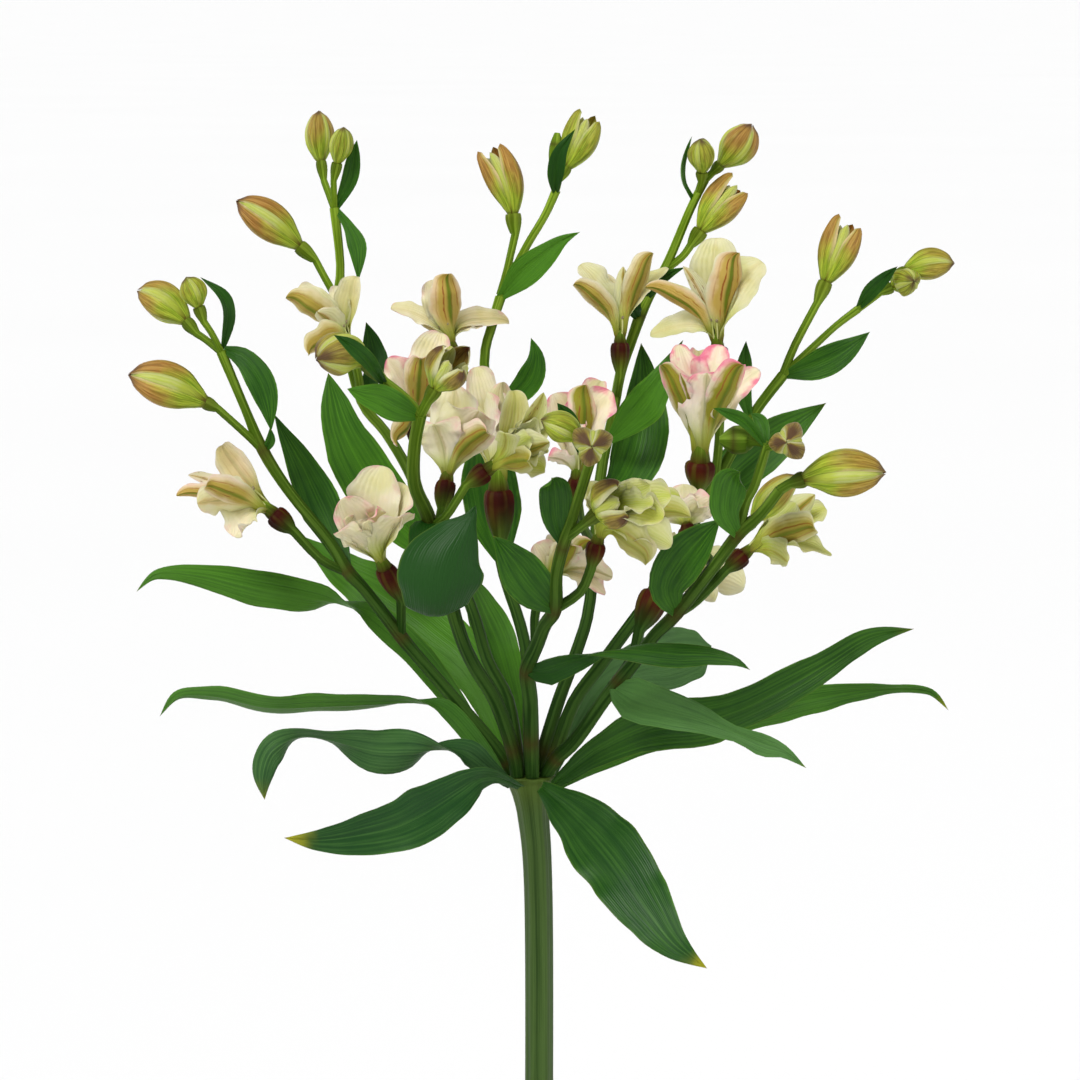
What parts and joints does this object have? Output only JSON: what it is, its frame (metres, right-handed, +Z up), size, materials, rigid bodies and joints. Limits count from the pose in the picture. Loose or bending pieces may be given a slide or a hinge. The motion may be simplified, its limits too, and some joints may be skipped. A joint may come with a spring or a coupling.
{
  "type": "potted peruvian lily",
  "caption": "Flowering lily stem standing in soil in a plain round clay pot, with a whorl of strap-shaped leaves and forked rays carrying striped pale blooms and buds.",
  "frame": {"origin": "middle of the pot's flat underside", "axes": "+Z up along the stem, the front of the plant towards -Y, +X to the right as seen from the front"},
  "size_m": [0.2772, 0.2138, 0.5478],
  "materials": {
    "clay": "matte unglazed fired clay",
    "soil": "dark crumbly potting soil",
    "stem": "satin, ridged grey-green stem",
    "leaf": "satin, finely veined",
    "stalk": "satin green",
    "petal": "soft, cream to pink with olive keels",
    "bud": "satin, ochre and lime with dark tips"
  },
  "bodies": {
    "root": {"pot": "clay", "soil": "soil", "stem": "stem", "leaf_1": "leaf", "leaf_2": "leaf", "leaf_3": "leaf", "leaf_4": "leaf", "leaf_5": "leaf", "leaf_6": "leaf", "leaf_7": "leaf", "leaf_8": "leaf", "leaf_9": "leaf", "leaf_10": "leaf", "ray_left": "stalk", "ray_upperLeft": "stalk", "ray_frontLeft": "stalk", "ray_frontMiddle": "stalk", "ray_topMiddle": "stalk", "ray_upperRight": "stalk", "ray_right": "stalk", "ray_frontRight": "stalk", "flower_left_low": "petal", "flower_left_high": "petal", "flower_upper_left": "petal", "flower_middle_left": "petal", "flower_front_cream": "petal", "flower_front_lime": "petal", "flower_middle_back": "petal", "flower_upper_back": "petal", "flower_upper_right": "petal", "flower_middle_pink": "petal", "flower_low_back": "petal", "flower_right_small": "petal", "flower_right_pink": "petal", "flower_upper_white": "petal", "flower_front_double": "petal", "flower_front_right": "petal", "flower_low_right": "petal", "flower_opening_top": "petal", "flower_opening_tip": "petal", "flower_opening_right": "petal", "flower_opening_far": "petal", "flower_opening_claw": "petal", "flower_opening_middle": "petal", "bud_left_1": "bud", "bud_left_2": "bud", "bud_left_3": "bud", "bud_upper_left_1": "bud", "bud_upper_left_2": "bud", "bud_upper_left_3": "bud", "bud_front_left": "bud", "bud_front_middle": "bud", "bud_front_facing": "bud", "bud_right_1": "bud", "bud_right_2": "bud", "bud_far_1": "bud", "bud_far_2": "bud", "bud_low_right_1": "bud", "bud_low_right_2": "bud", "bud_low_right_3": "bud"}
  },
  "joints": []
}
